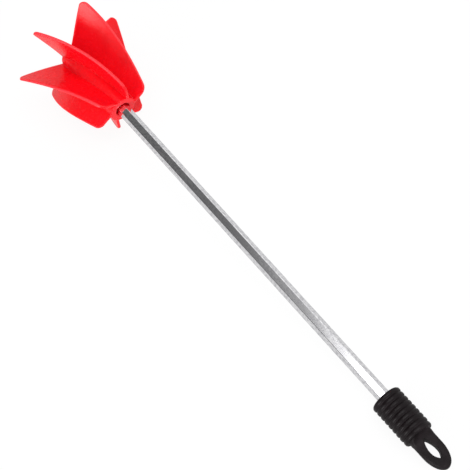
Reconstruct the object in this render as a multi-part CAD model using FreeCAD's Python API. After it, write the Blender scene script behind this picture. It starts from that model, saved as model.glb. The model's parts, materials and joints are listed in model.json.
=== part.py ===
import FreeCAD, Part
import math
import os

# Paint mixing paddle: a moulded head with six curved blades on a hexagon bar,
# and a ribbed cap with a hanging eye pushed on the drill end of the bar.
# Each piece is drawn along its own axis, +X from the head to the cap, with
# x = 0 at the mouth of the hub. The last step lays the whole tool down.
# Lengths are millimetres and angles are degrees.

# Hexagon bar
HEX_FLATS = 8.0            # drill shank size, across flats
SHAFT_OUT = 300.0          # bar length from the hub mouth to the drill end
SHAFT_CHAMFER = 0.9        # turned chamfer on both ends
HEX_TURN = 17.6            # how far its upper flat leans over, about the axis

# Hub of the moulded head
HUB_RADIUS = 10.0
HUB_LENGTH = 62.0
HUB_END_BREAK = 0.8
MOUTH_RADIUS = 5.4         # open recess round the bar
MOUTH_DEPTH = 8.0
MOUTH_CHAMFER = 0.5
HUB_FIT = 0.04             # gap between the bar and its moulded socket, each flat
HUB_FLOOR_GAP = 0.3        # gap past the end of the bar
HUB_FLOOR = 13.7           # solid end of the hub, past that gap
SHAFT_IN_HUB = HUB_LENGTH - HUB_FLOOR - HUB_FLOOR_GAP

# Blades: each section across the axis is a straight strip that turns and
# shifts sideways along the hub, so the blade is a ruled, left-handed sheet
BLADE_COUNT = 6
BLADE_THICKNESS = 2.1
BLADE_LENGTH = 71.0        # from the mouth plane to the sharp corner of the tip
SHOULDER_RADIUS = 21.5     # blade reach at the mouth plane
TIP_RADIUS = 43.2          # blade reach at the sharp corner of the tip
TRAILING_BOW = 0.7         # how far the edge from tip to hub bows out of a straight line
SHOULDER_ROUND = 6.4
TIP_ROUND = 3.0
BLADE_EDGE_BREAK = 0.4
TURN_AT_MOUTH = -26.97     # direction of the strip, seen from the tip it ends in
TURN_AT_TIP = -8.57
TURN_LATE = 0.4           # share of the turn that comes late along the blade
SHIFT_AT_MOUTH = -5.9      # sideways shift of the strip from the axis
SHIFT_AT_TIP = 9.06
SHIFT_LATE = 0.78
BLADE_STATIONS = 5
BLADE_OVERRUN = 3.0        # strip length past its trimmed outline, each way
BLADE_ROOT = 5.2           # where the strip starts, inside the hub wall

# Hanging cap
CAP_GRIP = 24.0            # length of the bar's drill end inside the cap
CAP_START = SHAFT_OUT - CAP_GRIP
CAP_RIBS = 9
CAP_RIB_PITCH = 3.456
CAP_CREST_RADIUS = 10.3
LAST_CREST_RADIUS = 10.1   # the rib next to the hanging eye stands a little lower
CAP_ROOT_RADIUS = 9.5     # where two ribs meet
RIB_CREST_WIDTH = 0.44     # width of a rib's crest, as a share of the pitch
CAP_FIT = 0.08             # gap between the bar and the cap's socket, each flat
CAP_FLOOR_GAP = 0.5        # gap past the drill end of the bar
SOCKET_LEAD_IN = 0.8
EYE_WIDTH = 15.5           # tab with the hanging eye
EYE_THICKNESS = 5.0
EYE_EDGE_BREAK = 1.1
NECK_RADIUS = 8.0          # round stock that the neck is thinned from
NECK_LENGTH = 5.6          # hollow blend that thins the neck down to the tab
HOLE_GAP = 3.4             # from the end of the ribbed body to the hole
HOLE_LENGTH = 15.4
HOLE_WIDTH = 5.6
HOLE_WIDEST = 9.2          # from the near end of the hole to its widest place
EYE_END_WALL = 6.9         # from the hole to the end of the tab
EYE_REACH = HOLE_GAP + HOLE_LENGTH + EYE_END_WALL
EYE_TAPER = 14.4           # length of the half oval that ends the tab

# Finding how the tool lies
CLOUD_FINENESS = 0.05
STEEPEST_PITCH = 20.0
PITCH_STEPS = 40

X_AXIS = FreeCAD.Vector(1, 0, 0)
Y_AXIS = FreeCAD.Vector(0, 1, 0)
ORIGIN = FreeCAD.Vector(0, 0, 0)
FULL_TURN = 360.0


def on_profile(x, radius):
    """A point of a half section, in the plane that is spun about the X axis."""
    return FreeCAD.Vector(x, 0, radius)


def spun(edges):
    """The solid that a closed half section makes when it is spun about the X axis."""
    face = Part.Face(Part.Wire(edges))
    return face.revolve(ORIGIN, X_AXIS, FULL_TURN)


def line(start, end):
    return Part.LineSegment(start, end).toShape()


def arc(start, middle, end):
    return Part.Arc(start, middle, end).toShape()


def closed_polyline(points):
    edges = []
    for i in range(len(points)):
        edges.append(line(points[i - 1], points[i]))
    return edges


def hexagon_bar(across_flats, start, end):
    """A hexagon prism along X, turned about the axis as the bar is in the tool."""
    corner_radius = across_flats / math.sqrt(3)
    points = []
    for i in range(6):
        angle = math.radians(60 * i + HEX_TURN)
        points.append(FreeCAD.Vector(start, corner_radius * math.cos(angle),
                                     corner_radius * math.sin(angle)))
    face = Part.Face(Part.Wire(closed_polyline(points)))
    return face.extrude(X_AXIS * (end - start))


def late_mix(start, end, share, late):
    """From start to end, with part of the change held back towards the end."""
    return start + (end - start) * ((1 - late) * share + late * share * share)


# The hexagon bar

def make_hex_shaft():
    corner_radius = HEX_FLATS / math.sqrt(3)
    bar = hexagon_bar(HEX_FLATS, -SHAFT_IN_HUB, SHAFT_OUT)
    turned = Part.makeCylinder(corner_radius, SHAFT_IN_HUB + SHAFT_OUT,
                               FreeCAD.Vector(-SHAFT_IN_HUB, 0, 0), X_AXIS)
    ends = [edge for edge in turned.Edges if abs(edge.BoundBox.XLength) < 0.01]
    return bar.common(turned.makeChamfer(SHAFT_CHAMFER, ends))


# The moulded head

def blade_outline():
    """The space that all blades fill when they are spun: it trims each strip."""
    shoulder = on_profile(0, SHOULDER_RADIUS)
    tip = on_profile(-BLADE_LENGTH, TIP_RADIUS)
    inner_mouth = on_profile(0, BLADE_ROOT)
    inner_end = on_profile(-HUB_LENGTH, BLADE_ROOT)
    trailing_end = on_profile(-HUB_LENGTH, HUB_RADIUS)
    trailing_middle = (tip + trailing_end) / 2 - X_AXIS * TRAILING_BOW
    solid = spun([
        line(inner_mouth, shoulder),
        line(shoulder, tip),
        arc(tip, trailing_middle, trailing_end),
        line(trailing_end, inner_end),
        line(inner_end, inner_mouth),
    ])
    solid = solid.makeFillet(SHOULDER_ROUND, circles_at(solid, shoulder))
    return solid.makeFillet(TIP_ROUND, circles_at(solid, tip))


def circles_at(solid, point):
    """The round edges of a spun solid that pass through a half-section point."""
    found = []
    for edge in solid.Edges:
        curve = edge.Curve
        if not hasattr(curve, "Radius") or not hasattr(curve, "Center"):
            continue
        same_place = abs(curve.Center.x - point.x) < 0.01
        same_radius = abs(curve.Radius - point.z) < 0.01
        if same_place and same_radius and edge.BoundBox.XLength < 0.01:
            found.append(edge)
    return found


def blade_section(distance):
    """The strip's four corners at a distance from the mouth plane."""
    share = distance / BLADE_LENGTH
    turn = math.radians(late_mix(TURN_AT_MOUTH, TURN_AT_TIP, share, TURN_LATE))
    shift = late_mix(SHIFT_AT_MOUTH, SHIFT_AT_TIP, share, SHIFT_LATE)
    along = FreeCAD.Vector(0, math.cos(turn), math.sin(turn))
    across = FreeCAD.Vector(0, -math.sin(turn), math.cos(turn))
    reach = TIP_RADIUS + BLADE_OVERRUN
    half = BLADE_THICKNESS / 2
    corners = []
    for out, side in ((BLADE_ROOT, -half), (reach, -half), (reach, half), (BLADE_ROOT, half)):
        corners.append(X_AXIS * -distance + along * out + across * (shift + side))
    return Part.Wire(closed_polyline(corners))


def make_blade(outline):
    """One blade: the ruled strip trimmed to its outline, with its edges broken."""
    sections = []
    span = BLADE_LENGTH + 2 * BLADE_OVERRUN
    for i in range(BLADE_STATIONS):
        distance = -BLADE_OVERRUN + span * i / (BLADE_STATIONS - 1)
        sections.append(blade_section(distance))
    strip = Part.makeLoft(sections, True, False)
    blade = strip.common(outline).Solids[0]
    return blade.makeChamfer(BLADE_EDGE_BREAK, long_edges(blade))


def long_edges(blade):
    """The edges of a blade's two broad faces, without those inside the hub."""
    broad = sorted(blade.Faces, key=lambda face: face.Area)[-2:]
    found = []
    for face in broad:
        for edge in face.Edges:
            middle = edge.valueAt((edge.FirstParameter + edge.LastParameter) / 2)
            if math.hypot(middle.y, middle.z) > HUB_RADIUS:
                found.append(edge)
    return found


def make_mixing_head():
    hub = Part.makeCylinder(HUB_RADIUS, HUB_LENGTH, FreeCAD.Vector(-HUB_LENGTH, 0, 0), X_AXIS)
    hub = hub.makeChamfer(HUB_END_BREAK, circles_at(hub, on_profile(-HUB_LENGTH, HUB_RADIUS)))
    blade = make_blade(blade_outline())
    blades = []
    for i in range(BLADE_COUNT):
        copy = blade.copy()
        copy.rotate(ORIGIN, X_AXIS, FULL_TURN * i / BLADE_COUNT)
        blades.append(copy)
    head = hub.multiFuse(blades)
    recess = spun(closed_polyline([
        on_profile(0, 0),
        on_profile(-MOUTH_DEPTH, 0),
        on_profile(-MOUTH_DEPTH, MOUTH_RADIUS),
        on_profile(-MOUTH_CHAMFER, MOUTH_RADIUS),
        on_profile(0, MOUTH_RADIUS + MOUTH_CHAMFER),
    ]))
    socket_end = -SHAFT_IN_HUB - HUB_FLOOR_GAP
    socket = hexagon_bar(HEX_FLATS + 2 * HUB_FIT, socket_end, 0)
    return head.cut(recess).cut(socket).Solids[0]


# The hanging cap

def cap_end():
    """Where the ribbed body stops."""
    return CAP_START + CAP_RIBS * CAP_RIB_PITCH


def rib_profile(centre, crest_radius):
    """Half section of one rib, from its crest down to the root before the next."""
    half_crest = CAP_RIB_PITCH / 2 * RIB_CREST_WIDTH
    return [
        on_profile(centre - half_crest, crest_radius),
        on_profile(centre + half_crest, crest_radius),
        on_profile(centre + CAP_RIB_PITCH / 2, CAP_ROOT_RADIUS),
    ]


def ribbed_body():
    """A spun body of evenly spaced ribs."""
    points = [on_profile(CAP_START, 0), on_profile(CAP_START, CAP_ROOT_RADIUS)]
    for i in range(CAP_RIBS):
        is_last = i == CAP_RIBS - 1
        crest_radius = LAST_CREST_RADIUS if is_last else CAP_CREST_RADIUS
        points += rib_profile(CAP_START + (i + 0.5) * CAP_RIB_PITCH, crest_radius)
    points.append(on_profile(cap_end(), 0))
    return spun(closed_polyline(points))


def level_arc(level, other):
    """An arc that leaves its first point along the axis and ends at the other."""
    along = other.x - level.x
    across = other.z - level.z
    radius = (along * along + across * across) / (2 * across)
    centre = level + FreeCAD.Vector(0, 0, radius)
    outward = ((level + other) / 2 - centre).normalize()
    return arc(level, centre + outward * abs(radius), other)


def mirrored(edge):
    return edge.mirror(ORIGIN, FreeCAD.Vector(0, 0, 1))


def eye_side_view(start, end):
    """Side view of the tab: a hollow neck that thins down to the flat tab."""
    upper = [
        level_arc(on_profile(start + NECK_LENGTH, EYE_THICKNESS / 2),
                  on_profile(start, NECK_RADIUS)),
        line(on_profile(start + NECK_LENGTH, EYE_THICKNESS / 2), on_profile(end, EYE_THICKNESS / 2)),
    ]
    closing = [
        line(on_profile(start, NECK_RADIUS), on_profile(start, -NECK_RADIUS)),
        line(on_profile(end, EYE_THICKNESS / 2), on_profile(end, -EYE_THICKNESS / 2)),
    ]
    edges = upper + [mirrored(edge) for edge in upper] + closing
    return Part.Face(Part.Wire(Part.__sortEdges__(edges)))


def eye_plan_view(start, end):
    """Plan view of the tab, drawn upright: straight sides that end in half an oval."""
    half = EYE_WIDTH / 2
    taper_start = end - EYE_TAPER
    oval = Part.Ellipse(on_profile(end, 0), on_profile(taper_start, half),
                        on_profile(taper_start, 0))
    upper = [
        line(on_profile(start, half), on_profile(taper_start, half)),
        Part.ArcOfEllipse(oval, 0, math.pi / 2).toShape(),
    ]
    closing = [line(on_profile(start, half), on_profile(start, -half))]
    edges = upper + [mirrored(edge) for edge in upper] + closing
    return Part.Face(Part.Wire(Part.__sortEdges__(edges)))


def eye_tab():
    """The neck and the flat tab: side view and plan view cut from round stock."""
    start = cap_end()
    end = start + EYE_REACH
    deep = 4 * NECK_RADIUS
    side = eye_side_view(start, end).extrude(Y_AXIS * deep)
    side.translate(Y_AXIS * (-deep / 2))
    plan = eye_plan_view(start, end).extrude(Y_AXIS * deep)
    plan.translate(Y_AXIS * (-deep / 2))
    plan.rotate(ORIGIN, X_AXIS, 90)
    tab = side.common(plan)
    rim = []
    for edge in tab.Edges:
        is_level = edge.BoundBox.ZLength < 0.01
        if is_level and edge.BoundBox.XMax > end - 0.01 and edge.BoundBox.YLength > 0.01:
            rim.append(edge)
        elif is_level and abs(abs(edge.BoundBox.YMax) - EYE_WIDTH / 2) < 0.01:
            rim.append(edge)
    tab = tab.makeChamfer(EYE_EDGE_BREAK, rim)
    stock = Part.makeCylinder(NECK_RADIUS, EYE_REACH, FreeCAD.Vector(start, 0, 0), X_AXIS)
    return tab.common(stock)


def eye_hole(height):
    """A pointed oval, wider towards the end of the tab, cut down through it."""
    start = cap_end() + HOLE_GAP
    widest = on_profile(start + HOLE_WIDEST, HOLE_WIDTH / 2)
    upper = [
        level_arc(widest, on_profile(start, 0)),
        level_arc(widest, on_profile(start + HOLE_LENGTH, 0)),
    ]
    edges = upper + [mirrored(edge) for edge in upper]
    outline = Part.Face(Part.Wire(Part.__sortEdges__(edges)))
    hole = outline.extrude(Y_AXIS * height)
    hole.translate(Y_AXIS * (-height / 2))
    hole.rotate(ORIGIN, X_AXIS, 90)
    return hole


def make_hang_cap():
    solid = ribbed_body().fuse(eye_tab())
    solid = solid.cut(eye_hole(2 * CAP_ROOT_RADIUS))
    socket_end = SHAFT_OUT + CAP_FLOOR_GAP
    socket_flats = HEX_FLATS + 2 * CAP_FIT
    socket = hexagon_bar(socket_flats, CAP_START, socket_end)
    corner_radius = socket_flats / math.sqrt(3)
    lead_in = Part.makeCone(corner_radius + SOCKET_LEAD_IN, corner_radius, SOCKET_LEAD_IN,
                            FreeCAD.Vector(CAP_START, 0, 0), X_AXIS)
    return solid.cut(socket).cut(lead_in).Solids[0]


# Laying the tool down on two blade tips and the cap

def lowest(points, pitch):
    """The lowest height of a cloud of points once the tool is pitched."""
    sine = math.sin(math.radians(pitch))
    cosine = math.cos(math.radians(pitch))
    return min(point.z * cosine - point.x * sine for point in points)


def resting_pitch(head_points, cap_points):
    """The pitch at which the head and the cap touch the ground together."""
    low = 0.0
    high = STEEPEST_PITCH
    for _ in range(PITCH_STEPS):
        pitch = (low + high) / 2
        if lowest(head_points, pitch) < lowest(cap_points, pitch):
            low = pitch
        else:
            high = pitch
    return pitch


def lay_down(pieces):
    """Pitch every piece, then put the middle of the box's underside at the origin."""
    clouds = {}
    for name, shape in pieces.items():
        clouds[name] = shape.tessellate(CLOUD_FINENESS)[0]
    pitch = resting_pitch(clouds["mixing_head"], clouds["hang_cap"])
    turn = FreeCAD.Rotation(Y_AXIS, pitch)
    box = FreeCAD.BoundBox()
    for cloud in clouds.values():
        for point in cloud:
            box.add(turn.multVec(point))
    shift = FreeCAD.Vector(-box.Center.x, -box.Center.y, -box.ZMin)
    print("pitch %.5f, hub mouth at %.4f %.4f %.4f" % (pitch, shift.x, shift.y, shift.z))
    laid = {}
    for name, shape in pieces.items():
        laid[name] = shape.copy()
        laid[name].rotate(ORIGIN, Y_AXIS, pitch)
        laid[name].translate(shift)
    return laid


def main():
    os.makedirs("parts", exist_ok=True)
    pieces = {
        "mixing_head": make_mixing_head(),
        "hex_shaft": make_hex_shaft(),
        "hang_cap": make_hang_cap(),
    }
    for name, shape in lay_down(pieces).items():
        print(name, "valid", shape.isValid(), "volume", round(shape.Volume, 1))
        shape.exportStep("parts/" + name + ".step")


main()
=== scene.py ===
# %% [markdown]
# # A paint mixing paddle, dressed for its picture
#
# The paddle is three pieces: a moulded red head with six curved blades, a
# plated hexagon bar, and a black rubber cap with a hanging eye. The frame
# brings their solids, in metres, lying as they rest. Each step below takes one
# piece or finish, says how it could be made, and then makes it.

import json
import math

import bmesh
import bpy
from mathutils import Matrix, Vector


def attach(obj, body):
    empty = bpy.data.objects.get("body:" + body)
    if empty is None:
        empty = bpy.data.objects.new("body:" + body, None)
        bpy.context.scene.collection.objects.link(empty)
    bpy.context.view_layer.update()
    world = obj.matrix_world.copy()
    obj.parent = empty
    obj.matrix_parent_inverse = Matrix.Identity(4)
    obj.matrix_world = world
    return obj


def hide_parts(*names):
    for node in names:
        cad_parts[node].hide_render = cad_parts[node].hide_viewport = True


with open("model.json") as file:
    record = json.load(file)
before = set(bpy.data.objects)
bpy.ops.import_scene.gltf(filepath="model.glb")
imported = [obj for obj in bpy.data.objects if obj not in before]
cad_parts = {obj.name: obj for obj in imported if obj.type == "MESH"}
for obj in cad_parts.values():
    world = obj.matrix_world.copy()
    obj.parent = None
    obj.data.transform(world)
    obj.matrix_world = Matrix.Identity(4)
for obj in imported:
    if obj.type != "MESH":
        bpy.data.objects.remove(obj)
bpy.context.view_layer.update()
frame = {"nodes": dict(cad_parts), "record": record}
MM = 0.001

# %% [markdown]
# ## The tool's own axis
#
# The paddle lies on two blade tips and its cap, so its axis dips a little
# towards the cap. Places could be typed in as world coordinates, but they would
# go wrong as soon as a blade changed. The record already holds the drill end of
# the bar and the direction of the axis, so everything is measured from those.

# %% Take the axis from the record
BAR_OUT = 300.0 * MM       # drill end of the bar to the mouth of the hub

shank = next(m for m in frame["record"]["mounts"] if m["name"] == "hex_shank")
axis = Vector(shank["axis"]).normalized()
drill_end = Vector(shank["pos_m"])
side = Vector((0.0, 1.0, 0.0))
upright = axis.cross(side)
hub_mouth = drill_end - axis * BAR_OUT
print("hub mouth", [round(v, 4) for v in hub_mouth])
print("upright", [round(v, 3) for v in upright])

# %% [markdown]
# ## Sums on wires
#
# A material here is mostly arithmetic on noise. Adding Math nodes by hand hides
# that arithmetic, so a small class overloads the operators: `noise * 0.1 + 0.3`
# adds the two nodes it needs. The reflected forms let a plain number stand
# first, as in `1 - mask`.

# %% A wire with arithmetic
class Wire:
    """A number that runs through a shader graph."""

    def __init__(self, graph, socket):
        self.graph = graph
        self.socket = socket

    def _math(self, operation, *terms):
        sockets = dict(enumerate(terms))
        return self.graph.add("ShaderNodeMath", {"operation": operation}, sockets)

    def __add__(self, other):
        return self._math("ADD", self, other)

    __radd__ = __add__

    def __mul__(self, other):
        return self._math("MULTIPLY", self, other)

    __rmul__ = __mul__

    def __sub__(self, other):
        return self._math("SUBTRACT", self, other)

    def __rsub__(self, other):
        return self._math("SUBTRACT", other, self)

    def __pow__(self, other):
        return self._math("POWER", self, other)

    def __rpow__(self, other):
        return self._math("POWER", other, self)

    def least(self, other):
        return self._math("MINIMUM", self, other)

    def between(self, low, high):
        """0 below low, 1 above high, and a smooth step from one to the other."""
        settings = {"interpolation_type": "SMOOTHSTEP"}
        sockets = {"Value": self, "From Min": low, "From Max": high}
        return self.graph.add("ShaderNodeMapRange", settings, sockets)


print("a wire takes + - * ** and has least and between")

# %% [markdown]
# ## A graph that adds nodes
#
# Every other node comes from one method, which takes the node's settings first
# and its sockets after, so that a node reads as one line. The kinds that come
# back often get a short name. Colours go through Mix and directions through
# Vector Math, because a Math node would turn them into plain numbers.

# %% A graph filled by calls
class Graph:
    """A node tree that is filled by calls instead of by hand."""

    def __init__(self, tree):
        self.tree = tree
        self.tree.nodes.clear()

    def add(self, kind, settings=None, sockets=None, output=0):
        """A new node, its settings first and then its sockets, as a wire."""
        node = self.tree.nodes.new(kind)
        for name, value in (settings or {}).items():
            setattr(node, name, value)
        for name, value in (sockets or {}).items():
            self.fill(node.inputs[name], value)
        return Wire(self, node.outputs[output]) if node.outputs else None

    def fill(self, socket, value):
        """Feeds a socket from a wire, or sets it to a constant."""
        if isinstance(value, Wire):
            self.tree.links.new(value.socket, socket)
        else:
            socket.default_value = value

    def noise(self, place, scale, detail):
        """Soft noise about 0.5, in features of about 1 / scale metres."""
        sockets = {"Vector": place, "Scale": scale, "Detail": detail}
        return self.add("ShaderNodeTexNoise", {}, sockets)

    def mix(self, share, first, second):
        """A colour that runs from the first to the second as share goes from 0 to 1."""
        sockets = {0: share, 6: first, 7: second}      # 6 and 7 are the colours
        return self.add("ShaderNodeMix", {"data_type": "RGBA"}, sockets, 2)

    def bump(self, height, depth, normal=None):
        """The surface normal bent as if height, times depth in metres, stood on it."""
        sockets = {"Height": height, "Strength": 1.0, "Distance": depth}
        if normal is not None:
            sockets["Normal"] = normal
        return self.add("ShaderNodeBump", {}, sockets)

    def dot(self, place, direction):
        """How far a place is along a direction."""
        settings = {"operation": "DOT_PRODUCT"}
        sockets = {0: place, 1: tuple(direction)}
        return self.add("ShaderNodeVectorMath", settings, sockets, "Value")


print("a graph has noise, mix, bump and dot, and add for any other node")

# %% [markdown]
# ## A place on the tool
#
# Marks follow form: an edge is paler, partly from wear and partly as a painted
# highlight, the recess round the bar is painted brighter against its shade, and a
# groove stays dusty. That could be painted by hand into an image. Here each
# material works out two distances instead, how far a place is ahead of the hub's
# mouth and how far it is from the axis, and on a spun or turned form those two
# are enough to tell.

# %% Start a material, measure a place, end in a surface
def material(name):
    """A new material with an empty graph, and the place on the piece as a wire."""
    made = bpy.data.materials.new(name)
    made.use_nodes = True
    graph = Graph(made.node_tree)
    place = graph.add("ShaderNodeTexCoord", output="Object")
    return made, graph, place


def place_on_tool(graph, place):
    """Distance ahead of the hub's mouth and distance from the axis, as two wires."""
    ahead = graph.dot(place, axis) - axis.dot(hub_mouth)
    across = graph.dot(place, side) - side.dot(hub_mouth)
    above = graph.dot(place, upright) - upright.dot(hub_mouth)
    return ahead, (across * across + above * above) ** 0.5


def finish_surface(made, graph, sockets):
    """Ends a material in one Principled surface."""
    surface = graph.add("ShaderNodeBsdfPrincipled", {}, sockets)
    graph.add("ShaderNodeOutputMaterial", {}, {"Surface": surface})
    print(made.name, len(made.node_tree.nodes), "nodes")
    return made


print("places are measured from", round(axis.dot(hub_mouth) / MM, 1), "mm on the axis")

# %% [markdown]
# ## The edges of the blades
#
# The blades are painted paler along their edges, partly as wear and partly as a
# painted highlight where the rims catch the light. Edges could be found by how
# sharply the skin bends, but on a fine mesh that is noisy. All six blades fill
# one spun outline, so an edge is simply a place near that outline. The flat
# ends of the hub lie on the outline too, and they are given some depth, so that
# the pale colour stays off them.

# %% Measure the depth inside the outline
HUB_REACH = 10.0 * MM
SHOULDER = (0.0, 21.5 * MM)            # corners: ahead of the mouth, off the axis
TIP = (-71.0 * MM, 43.2 * MM)
HUB_BACK = (-62.0 * MM, HUB_REACH)
HUB_RIM = 1.0 * MM                     # width over which the hub's end turns deep
HUB_BACK_DEPTH = 2.0 * MM
MOUTH_DEPTH = 0.72 * MM


def depth_inside(ahead, reach, start, end):
    """How far a place lies inside a straight side of the outline."""
    run = Vector(end) - Vector(start)
    inward = Vector((run.y, -run.x)).normalized()
    return (ahead - start[0]) * inward.x + (reach - start[1]) * inward.y


def depth_from_edges(graph, place):
    """How far a place lies inside the outline that the blades are trimmed to."""
    ahead, reach = place_on_tool(graph, place)
    outer = depth_inside(ahead, reach, TIP, SHOULDER)
    in_hub = 1.0 - reach.between(HUB_REACH - HUB_RIM, HUB_REACH)
    trailing = depth_inside(ahead, reach, HUB_BACK, TIP) + in_hub * HUB_BACK_DEPTH
    return outer.least(trailing).least(MOUTH_DEPTH - ahead)


for corner in (SHOULDER, TIP, HUB_BACK):
    print("outline corner, in mm", [round(v / MM, 1) for v in corner])

# %% [markdown]
# ## The recess round the bar
#
# The bar enters the hub through a round recess. Its walls lie in shade, and
# their red is painted brighter and fuller than the rest, which lifts them out of
# that shade; the pale rim colour is left out there. It is found by
# place as well: near the axis, and no deeper than a little past its floor.

# %% Find the recess
RECESS_REACH = 5.4 * MM
RECESS_FADE = 0.5 * MM
RECESS_DEPTH = 8.0 * MM
BELOW_FLOOR = 1.0 * MM                 # how far past the floor the share ends


def share_in_recess(graph, place):
    """1 on the walls and floor of the recess round the bar, and 0 elsewhere."""
    ahead, reach = place_on_tool(graph, place)
    near_axis = 1.0 - reach.between(RECESS_REACH, RECESS_REACH + RECESS_FADE)
    last = -RECESS_DEPTH - BELOW_FLOOR
    return near_axis * ahead.between(last - BELOW_FLOOR, last)


print("recess", round(2 * RECESS_REACH / MM, 1), "mm across")

# %% [markdown]
# ## Red moulded plastic
#
# The head is one shot of a tough, slightly see-through plastic. A plain red
# would look like paint. Four things make it a moulding: pigment that swirled a
# little as it flowed, light that soaks a millimetre or two into the thin
# blades, paler edges, partly worn and partly a painted highlight, and a soft
# gloss broken by fine scuffs. Long, low waves in the normal stand for the
# slight sink of a moulded face.

# %% Make the red plastic
RED = (0.85, 0.004, 0.011, 1.0)
RED_DEEP = (0.76, 0.003, 0.009, 1.0)
# Paler red along the rims: partly wear, partly a painted highlight where the rims catch
# the light.
RED_RIM_WEAR_AND_HIGHLIGHT = (1.0, 0.036, 0.050, 1.0)
# Brighter, fuller red painted on the recess walls to lift them in their shade.
RED_LIFTED_IN_RECESS = (0.99, 0.004, 0.012, 1.0)

SWIRLS, SWIRL_RANGE = 38.0, (0.35, 0.65)       # noise scale, and where it counts
SCUFFS, SCUFF_RANGE = 260.0, (0.5, 0.75)
SINKS, SINK_HEIGHT = 90.0, 0.05 * MM
FINE_GRAIN, FINE_GRAIN_HEIGHT = 1400.0, 0.003 * MM

RIM_WEAR_AND_HIGHLIGHT_RANGE = (0.4 * MM, 0.9 * MM)               # fully pale at the rim, and not pale at all: wear and painted highlight
RIM_WEAR_AND_HIGHLIGHT_SHARE = 0.8
PLASTIC_ROUGH, SCUFF_ROUGH, RUB_ROUGH = 0.25, 0.10, 0.08

PLASTIC_GLOSS = {"IOR": 1.49, "Specular IOR Level": 0.27}
LIGHT_SOAK = {
    "Subsurface Weight": 0.35, "Subsurface Radius": (1.0, 0.25, 0.2),
    "Subsurface Scale": 2.0 * MM,
}


def red_plastic():
    made, graph, place = material("red_plastic")
    swirl = graph.noise(place, SWIRLS, detail=4.0).between(*SWIRL_RANGE)
    scuffs = graph.noise(place, SCUFFS, detail=6.0).between(*SCUFF_RANGE)
    # The rim mask paints the edges paler, partly as wear and partly as a painted
    # highlight.
    rim_wear_and_highlight = 1.0 - depth_from_edges(graph, place).between(*RIM_WEAR_AND_HIGHLIGHT_RANGE)
    body = graph.mix(swirl, RED_DEEP, RED)
    marked = graph.mix(rim_wear_and_highlight * RIM_WEAR_AND_HIGHLIGHT_SHARE, body, RED_RIM_WEAR_AND_HIGHLIGHT)
    # In the recess the red is painted brighter, lifting the walls out of their shade.
    colour = graph.mix(share_in_recess(graph, place), marked, RED_LIFTED_IN_RECESS)
    rough = PLASTIC_ROUGH + scuffs * SCUFF_ROUGH + rim_wear_and_highlight * RUB_ROUGH
    sinks = graph.noise(place, SINKS, detail=1.0)
    grain = graph.noise(place, FINE_GRAIN, detail=3.0)
    skin = graph.bump(grain, FINE_GRAIN_HEIGHT, graph.bump(sinks, SINK_HEIGHT))
    varying = {"Base Color": colour, "Roughness": rough, "Normal": skin}
    return finish_surface(made, graph, {**varying, **LIGHT_SOAK, **PLASTIC_GLOSS})


red = red_plastic()

# %% [markdown]
# ## Plated steel
#
# The bar is drawn steel with a thin bright plating. Three marks tell it from a
# mirror: lines left along the bar by the drawing die, the fine grain of the
# plating, and dull specks where it is thin. The lines could be painted on, but
# noise is enough: its place is measured in the bar's own directions and
# squeezed along the axis, so that round noise comes out as long streaks.

# %% Make the plated steel
STEEL = (0.99, 0.985, 1.0, 1.0)
STEEL_GREY = (0.64, 0.635, 0.665, 1.0)

STREAK_STRETCH = 0.06                          # squeeze of the noise along the bar
STREAKS, STREAK_HEIGHT = 1500.0, 0.0012 * MM
PLATING_GRAIN = 1900.0
MARK_RANGE = (0.35, 0.7)                       # where streaks and grain count
DULL_SPECKS, DULL_RANGE = 600.0, (0.40, 0.64)

WORN_GREY, DULL_GREY = 0.25, 0.75              # shares of grey in the colour
STEEL_ROUGH, WORN_ROUGH, DULL_ROUGH = 0.06, 0.03, 0.05


def plated_steel():
    made, graph, place = material("plated_steel")
    streak_place = graph.add("ShaderNodeCombineXYZ", {}, {
        "X": graph.dot(place, axis) * STREAK_STRETCH,
        "Y": graph.dot(place, side),
        "Z": graph.dot(place, upright),
    })
    streaks = graph.noise(streak_place, STREAKS, detail=3.0)
    grain = graph.noise(place, PLATING_GRAIN, detail=2.0)
    dull = graph.noise(place, DULL_SPECKS, detail=4.0).between(*DULL_RANGE)
    marked = streaks.between(*MARK_RANGE) * 0.5 + grain.between(*MARK_RANGE) * 0.5
    colour = graph.mix(marked * WORN_GREY + dull * DULL_GREY, STEEL, STEEL_GREY)
    rough = STEEL_ROUGH + marked * WORN_ROUGH + dull * DULL_ROUGH
    skin = graph.bump(streaks, STREAK_HEIGHT)
    return finish_surface(made, graph, {
        "Base Color": colour, "Roughness": rough, "Normal": skin, "Metallic": 1.0,
    })


steel = plated_steel()

# %% [markdown]
# ## Black rubber
#
# The cap is soft moulded rubber: nearly black, never quite even, with a sheen
# that shows on the ribs. One even black would lose the ribs altogether.
# Handling polishes the crests and leaves dust and a grey bloom in the grooves,
# so crest and groove get different finishes, told apart by their distance from
# the axis.

# %% Make the black rubber
RUBBER = (0.0058, 0.0034, 0.0042, 1.0)
RUBBER_BLOOM = (0.0125, 0.0085, 0.0100, 1.0)

CREST_RANGE = (9.8 * MM, 10.2 * MM)            # from the grooves to the ribs' crests
BLOOM, BLOOM_RANGE = 110.0, (0.42, 0.7)
PITS, PIT_RANGE = 700.0, (0.35, 0.7)
RUBBER_GRAIN = 2600.0
GRAIN_SHARE, PIT_SHARE, SKIN_HEIGHT = 0.4, 0.6, 0.012 * MM

RUBBER_ROUGH, PIT_ROUGH, CREST_POLISH = 0.50, 0.12, 0.22
RUBBER_GLOSS = {"IOR": 1.5, "Specular IOR Level": 0.16}


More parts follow.
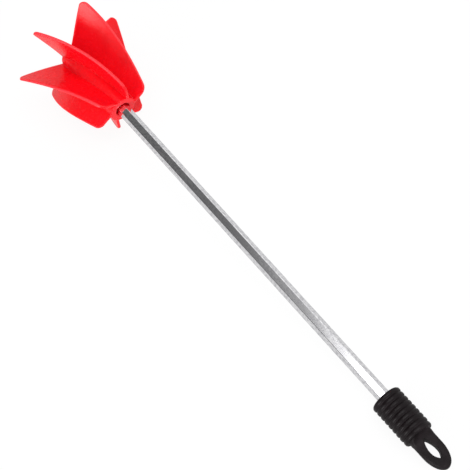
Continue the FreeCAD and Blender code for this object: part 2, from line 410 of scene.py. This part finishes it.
def black_rubber():
    made, graph, place = material("black_rubber")
    bloom = graph.noise(place, BLOOM, detail=5.0).between(*BLOOM_RANGE)
    grain = graph.noise(place, RUBBER_GRAIN, detail=2.0)
    pits = graph.noise(place, PITS, detail=3.0)
    crest = place_on_tool(graph, place)[1].between(*CREST_RANGE)
    colour = graph.mix(bloom * (1.0 - crest), RUBBER, RUBBER_BLOOM)
    rough = RUBBER_ROUGH + pits.between(*PIT_RANGE) * PIT_ROUGH - crest * CREST_POLISH
    skin = graph.bump(grain * GRAIN_SHARE + pits * PIT_SHARE, SKIN_HEIGHT)
    varying = {"Base Color": colour, "Roughness": rough, "Normal": skin}
    return finish_surface(made, graph, {**varying, **RUBBER_GLOSS})


rubber = black_rubber()

# %% [markdown]
# ## One closed skin
#
# The frame's meshes are split along their sharp edges, so that each face can
# shade flat. A moulding is one skin with no seams. The head and the cap could
# be drawn again by hand, but their solids already have every form in place, so
# each one is copied and its split edges are joined.

# %% Copy a solid's mesh with its split edges joined
WELD = 0.0005 * MM


def welded_copy(node, name):
    """A new object with a CAD node's mesh, its split edges joined again."""
    mesh = frame["nodes"][node].data.copy()
    mesh.materials.clear()
    skin = bmesh.new()
    skin.from_mesh(mesh)
    split = len(skin.verts)
    bmesh.ops.remove_doubles(skin, verts=skin.verts, dist=WELD)
    print(node, "welded from", split, "to", len(skin.verts), "corners")
    skin.to_mesh(mesh)
    skin.free()
    piece = bpy.data.objects.new(name, mesh)
    bpy.context.scene.collection.objects.link(piece)
    return piece


# %% [markdown]
# ## From a drawing's edges to a moulding's
#
# The solids have crisp breaks, as a drawing has. A moulding has none: every rim
# is round and every root has a small fillet. Bevelling hundreds of curved edges
# would be fragile. Rebuilding the skin on a fine grid and relaxing it rounds
# rims and roots at once, and keeps the form. The grid makes far more faces than
# the flatter parts need, so a share of them is dropped at the end.

# %% Rebuild the skin with soft edges
def shown_mesh(piece):
    """The mesh of an object with its modifiers applied."""
    evaluated = piece.evaluated_get(bpy.context.evaluated_depsgraph_get())
    return bpy.data.meshes.new_from_object(evaluated)


RELAX_STEP = 0.5           # how far a corner goes to its neighbours' middle each round


def moulded(node, name, cell, relaxing, swell, kept):
    """A CAD node's form as a moulding: a fine even skin, relaxed to soft edges.

    Relaxing draws the skin in a little, and swelling gives some of that back.
    Only a share of the small faces is kept, and the flat parts are thinned first."""
    piece = welded_copy(node, name)
    grid = piece.modifiers.new("grid", "REMESH")
    grid.mode = "VOXEL"
    grid.voxel_size = cell
    relax = piece.modifiers.new("relax", "SMOOTH")
    relax.factor = RELAX_STEP
    relax.iterations = relaxing
    grow = piece.modifiers.new("grow", "DISPLACE")
    grow.mid_level = 0.0
    grow.strength = swell
    thin = piece.modifiers.new("thin", "DECIMATE")
    thin.ratio = kept
    piece.data = shown_mesh(piece)
    piece.modifiers.clear()
    piece.data.shade_smooth()
    print(name, len(piece.data.polygons), "faces")
    return piece


# %% [markdown]
# ## The mixing head
#
# The head is one moulding, a hub and six twisted blades 2.1 mm thick. The cells
# are a sixth of that thickness, small enough to keep a blade's two faces apart
# and its rim round, and four rounds of relaxing round the rims by a few tenths
# of a millimetre.

# %% Mould the head
head = moulded("mixing_head", "moulded_head",
               cell=0.36 * MM, relaxing=4, swell=0.03 * MM, kept=0.33)
head.data.materials.append(red)
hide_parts("mixing_head")
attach(head, "tool")

# %% [markdown]
# ## The rubber cap
#
# The cap is smaller and finer than the head, with nine ribs close together, so
# its cells are smaller and it is relaxed less. It rides its own body, because
# it is pulled off along the bar.

# %% Mould the cap
cap = moulded("hang_cap", "rubber_cap",
              cell=0.28 * MM, relaxing=3, swell=0.0, kept=0.8)
cap.data.materials.append(rubber)
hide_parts("hang_cap")
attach(cap, "cap")

# %% [markdown]
# ## The section of the bar
#
# A drawn bar has flats that are truly flat and corners rounded by well under a
# millimetre, and it is those corners that catch a line of light. Bevelling the
# solid would do, but the bar is so plain that it is as easy to draw its section
# and know every face of it.

# %% Draw the section
FLATS = 8.0 * MM
FLAT_LEAN = 17.6           # degrees that the upper flat leans over
CORNER_ROUND = 0.7 * MM
CORNER_STEPS = 5
CORNERS = 6


def hexagon_section():
    """Distance from the axis and angle of each point of the rounded hexagon."""
    fan = 360.0 / CORNERS
    out = (FLATS / 2 - CORNER_ROUND) / math.cos(math.radians(fan / 2))
    points = []
    for corner in range(CORNERS):
        middle = math.radians(fan * corner + FLAT_LEAN)
        centre = Vector((math.cos(middle), math.sin(middle))) * out
        for step in range(CORNER_STEPS + 1):
            turn = middle + math.radians(fan * step / CORNER_STEPS - fan / 2)
            point = centre + Vector((math.cos(turn), math.sin(turn))) * CORNER_ROUND
            points.append((point.length, math.atan2(point.y, point.x)))
    return points


section = hexagon_section()
print("section", len(section), "points,",
      round(2 * max(reach for reach, angle in section) / MM, 2), "mm over the corners")

# %% [markdown]
# ## The length of the bar
#
# The section is carried along the axis from inside the hub to the drill end.
# Both ends are turned to a chamfer, as on a lathe. That is done in the same way
# here: ring by ring, no point may stand further from the axis than the cutter
# allows, so the corners are cut first and the flats last.

# %% Carry the section along the axis
BAR_IN = 48.0 * MM         # bar held inside the hub
CHAMFER = 0.9 * MM
CHAMFER_STEPS = 6


def bar_ring(skin, distance, limit):
    """One ring of the bar, with no point further from the axis than the limit."""
    centre = hub_mouth + axis * distance
    ring = []
    for reach, angle in section:
        kept = min(reach, limit)
        place = centre + side * kept * math.cos(angle) + upright * kept * math.sin(angle)
        ring.append(skin.verts.new(place))
    return ring


def bar_skin():
    """Closed skin of the bar, with a turned chamfer at both ends."""
    skin = bmesh.new()
    turned = FLATS / math.sqrt(3) - CHAMFER
    cuts = [CHAMFER * step / CHAMFER_STEPS for step in range(CHAMFER_STEPS + 1)]
    rings = [bar_ring(skin, -BAR_IN + cut, turned + cut) for cut in cuts]
    rings += [bar_ring(skin, BAR_OUT - cut, turned + cut) for cut in reversed(cuts)]
    for near, far in zip(rings, rings[1:]):
        for i in range(len(near)):
            skin.faces.new((near[i - 1], near[i], far[i], far[i - 1]))
    skin.faces.new(rings[0])
    skin.faces.new(rings[-1])
    bmesh.ops.recalc_face_normals(skin, faces=skin.faces)
    return skin


def build_bar():
    """The bar as an object, shaded so that its flats stay flat."""
    mesh = bpy.data.meshes.new("plated_bar")
    skin = bar_skin()
    skin.to_mesh(mesh)
    skin.free()
    piece = bpy.data.objects.new("plated_bar", mesh)
    bpy.context.scene.collection.objects.link(piece)
    mesh.shade_smooth()
    even = piece.modifiers.new("flat_flats", "WEIGHTED_NORMAL")
    even.keep_sharp = True
    print("plated_bar", len(mesh.polygons), "faces")
    return piece


bar = build_bar()
bar.data.materials.append(steel)
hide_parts("hex_shaft")
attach(bar, "tool")

# %% [markdown]
# ## The white floor
#
# The picture is a product shot on white. The floor could be left out, but then
# nothing would bounce light up into the blades or hold a faint shadow. It stays
# a real surface for that. To the camera and in reflections it is mostly plain
# white, as an overlit sheet of paper is, and the rest of its share is lit as
# usual, which keeps the shadow.

# %% Lay the floor
FLOOR_SIZE = 6.0
FLOOR_DROP = 0.02 * MM
FLOOR_WHITE = (0.92, 0.92, 0.92, 1.0)
WHITE = (1.0, 1.0, 1.0, 1.0)
PLAIN_SHARE = 0.92         # share of plain white to the camera and in reflections
PLAIN_IN_GLOSS = 0.66      # how bright that share is in a reflection


def rays(graph, kind):
    """1 for rays of one kind, such as those from the camera, and 0 for all others."""
    return graph.add("ShaderNodeLightPath", output=kind)


def floor_paper():
    """Paper white that is part lit and part plain."""
    made = bpy.data.materials.new("floor_white")
    made.use_nodes = True
    graph = Graph(made.node_tree)
    lit = graph.add("ShaderNodeBsdfDiffuse", {}, {"Color": FLOOR_WHITE})
    camera_ray = rays(graph, "Is Camera Ray")
    glossy_ray = rays(graph, "Is Glossy Ray")
    brightness = camera_ray + glossy_ray * PLAIN_IN_GLOSS
    glow = {"Color": WHITE, "Strength": brightness}
    plain = graph.add("ShaderNodeEmission", {}, glow)
    share = (camera_ray + glossy_ray) * PLAIN_SHARE
    surface = graph.add("ShaderNodeMixShader", {}, {0: share, 1: lit, 2: plain})
    graph.add("ShaderNodeOutputMaterial", {}, {"Surface": surface})
    return made


bpy.ops.mesh.primitive_plane_add(size=FLOOR_SIZE, location=(0, 0, -FLOOR_DROP))
floor = bpy.context.object
floor.name = "floor"
floor.data.materials.append(floor_paper())
print("floor", FLOOR_SIZE, "m square,", round(FLOOR_DROP / MM, 2), "mm under the tool")

# %% [markdown]
# ## The light of the room
#
# Bright metal shows the room more than itself. In an evenly white room the bar
# would be white all along. A studio would stand a dark card beside the tool, and
# here the world has two such dark parts: one at the side, which makes the bar
# run from grey at the hub to white at the cap, and a weaker one behind the
# head, which calms the blades. Each is a shape in the world's own directions,
# dark in steps as a card with a soft edge is. They darken reflections far more
# than they darken the light that falls on the tool.

# %% Light the room
ROOM_LEVEL = 0.92
ROOM_DARK = 0.05
DARK_SIDE = (-145.0, 30.0)     # azimuth from +X and height of its middle, in degrees
SIDE_STEPS = (                 # nearness where a step starts and is full, its share
    (0.768, 0.788, 0.69),
    (0.803, 0.824, 0.20),
    (0.860, 0.930, 0.11),
)
DARK_BEHIND = (150.0, 18.0)
BEHIND_STEPS = ((0.82, 0.96, 0.70),)
LEFT_IN_LIGHT = 0.25           # share of the dark that plain light sees


def toward(turn, height):
    """Unit direction at an angle round from +X and a height above the floor."""
    turn, height = math.radians(turn), math.radians(height)
    flat = math.cos(height)
    return Vector((flat * math.cos(turn), flat * math.sin(turn), math.sin(height)))


def dark_part(graph, direction, middle, steps):
    """A dark part of the room, in steps of nearness to its middle."""
    nearness = graph.dot(direction, toward(*middle))
    return sum(nearness.between(start, full) * share for start, full, share in steps)


def light_room():
    world = bpy.data.worlds.new("room")
    bpy.context.scene.world = world
    world.use_nodes = True
    graph = Graph(world.node_tree)
    direction = graph.add("ShaderNodeTexCoord", output="Generated")
    card = (dark_part(graph, direction, DARK_SIDE, SIDE_STEPS)
            + dark_part(graph, direction, DARK_BEHIND, BEHIND_STEPS))
    in_gloss = rays(graph, "Is Glossy Ray")
    dark = card.least(1.0) * (LEFT_IN_LIGHT + in_gloss * (1.0 - LEFT_IN_LIGHT))
    level = ROOM_LEVEL - dark * (ROOM_LEVEL - ROOM_DARK)
    camera_ray = rays(graph, "Is Camera Ray")
    strength = camera_ray + (1.0 - camera_ray) * level
    white_sky = {"Color": WHITE, "Strength": strength}
    sky = graph.add("ShaderNodeBackground", {}, white_sky)
    graph.add("ShaderNodeOutputWorld", {}, {"Surface": sky})
    print("room", len(world.node_tree.nodes), "nodes")


light_room()

# %% [markdown]
# ## The lamps
#
# The room alone is soft to the point of flatness. Three square lamps give it a
# side: one overhead lifts the upper faces, a low one at the camera's side draws
# the sheen on the tip of the top blade, and a small one, like a high window,
# makes the bar white near the cap.

# %% Hang the lamps
LAMP_DISTANCE = 1.6


def softbox(name, turn, height, size, power):
    """A square soft light that looks at the middle of the tool."""
    lamp = bpy.data.lights.new(name, "AREA")
    lamp.shape = "SQUARE"
    lamp.size = size
    lamp.energy = power
    light = bpy.data.objects.new(name, lamp)
    light.location = toward(turn, height) * LAMP_DISTANCE
    light.rotation_euler = (-light.location).to_track_quat("-Z", "Y").to_euler()
    bpy.context.scene.collection.objects.link(light)
    print(name, "lamp at", [round(v, 2) for v in light.location])


softbox("overhead", turn=20.0, height=74.0, size=0.9, power=6.0)
softbox("low", turn=-70.0, height=13.0, size=0.72, power=13.0)
softbox("window", turn=-86.5, height=73.0, size=0.5, power=2.0)

# %% [markdown]
# ## The camera
#
# The camera looks down on the lying tool from the cap's side, so that the head
# is far off and the bar runs across the picture. A camera could be aimed with a
# constraint, but a turn, a height, a roll and a distance from one aimed point
# are easier to read and to change. Standard colours keep white paper white.

# %% Set the camera
VIEW_TURN = 58.544          # round from -Y towards +X, in degrees
VIEW_HEIGHT = 56.652
VIEW_ROLL = -7.445
VIEW_AIM = (-14.54 * MM, 6.70 * MM, 0.0)
VIEW_DISTANCE = 874.15 * MM
SENSOR = 36.0               # width of the sensor and focal length, in its own mm
LENS = 99.04


def set_camera():
    data = bpy.data.cameras.new("view")
    data.sensor_fit = "HORIZONTAL"
    data.sensor_width = SENSOR
    data.lens = LENS
    camera = bpy.data.objects.new("view", data)
    look = -toward(VIEW_TURN - 90.0, VIEW_HEIGHT)
    camera.location = Vector(VIEW_AIM) - look * VIEW_DISTANCE
    level = look.to_track_quat("-Z", "Y").to_matrix()
    rolled = level @ Matrix.Rotation(math.radians(VIEW_ROLL), 3, "Z")
    camera.rotation_euler = rolled.to_euler()
    bpy.context.scene.collection.objects.link(camera)
    bpy.context.scene.camera = camera
    print("camera", [round(v, 4) for v in camera.location])


set_camera()
bpy.context.scene.view_settings.view_transform = "Standard"
